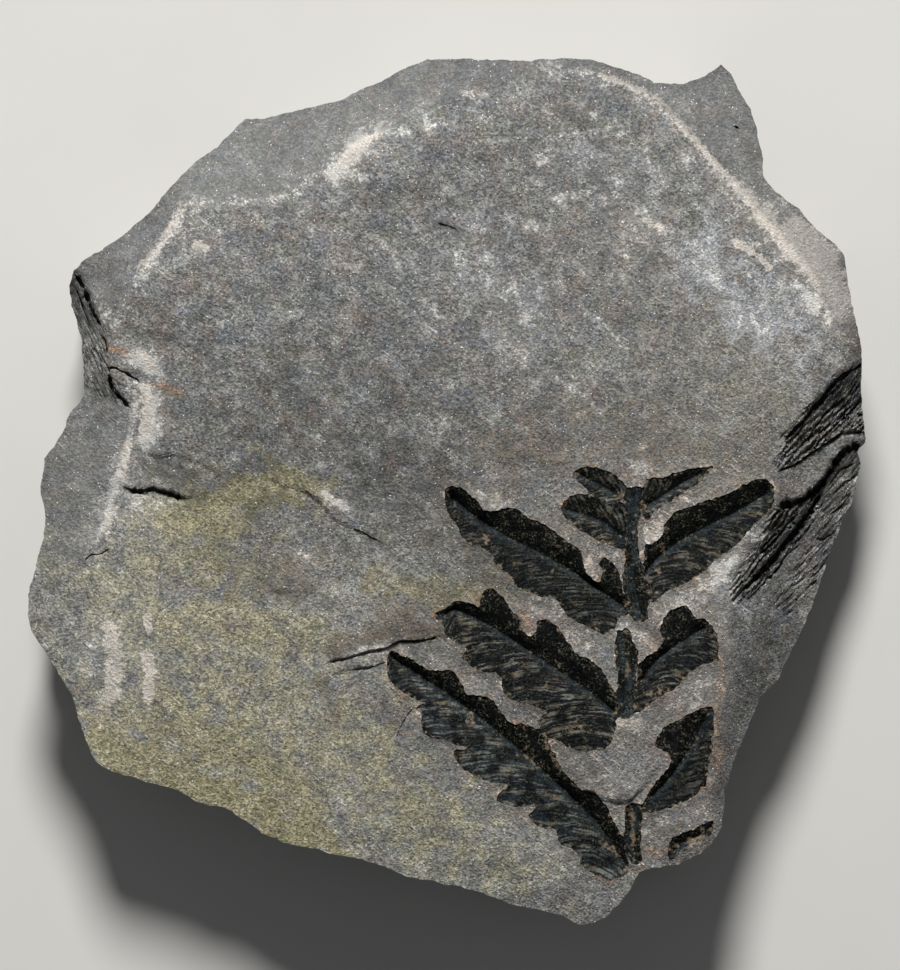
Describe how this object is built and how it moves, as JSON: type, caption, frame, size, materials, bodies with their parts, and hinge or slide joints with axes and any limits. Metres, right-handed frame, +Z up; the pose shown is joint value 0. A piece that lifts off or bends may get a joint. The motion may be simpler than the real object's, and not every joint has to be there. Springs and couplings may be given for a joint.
{
  "type": "fossil fern plate",
  "caption": "Irregular slab of broken grey shale with a fern frond preserved as dark carbon films sunk in its split face; lies flat.",
  "frame": {"origin": "centre of the plate's bounding rectangle, on the flat underside it lies on", "axes": "+Z up out of the split face that carries the fern, +Y towards the tip of the frond, +X to the right of the frond"},
  "size_m": [0.0844, 0.087, 0.0155],
  "materials": {
    "shale": "matt split shale, grey to olive, with pale mineral bloom along the rims and fine mica glints",
    "carbon_film": "black coalified plant film with a dull bluish lustre and fine raised veins"
  },
  "bodies": {
    "root": {"shale_slab": "shale", "rachis_upper": "carbon_film", "rachis_middle": "carbon_film", "rachis_lower": "carbon_film", "leaflet_tip_left_upper": "carbon_film", "leaflet_tip_left_lower": "carbon_film", "leaflet_tip_right": "carbon_film", "pinna_left_upper": "carbon_film", "pinna_left_middle": "carbon_film", "pinna_left_lower": "carbon_film", "pinna_right_upper": "carbon_film", "pinna_right_middle": "carbon_film", "pinna_right_lower": "carbon_film", "pinna_right_lowest": "carbon_film"}
  },
  "joints": []
}
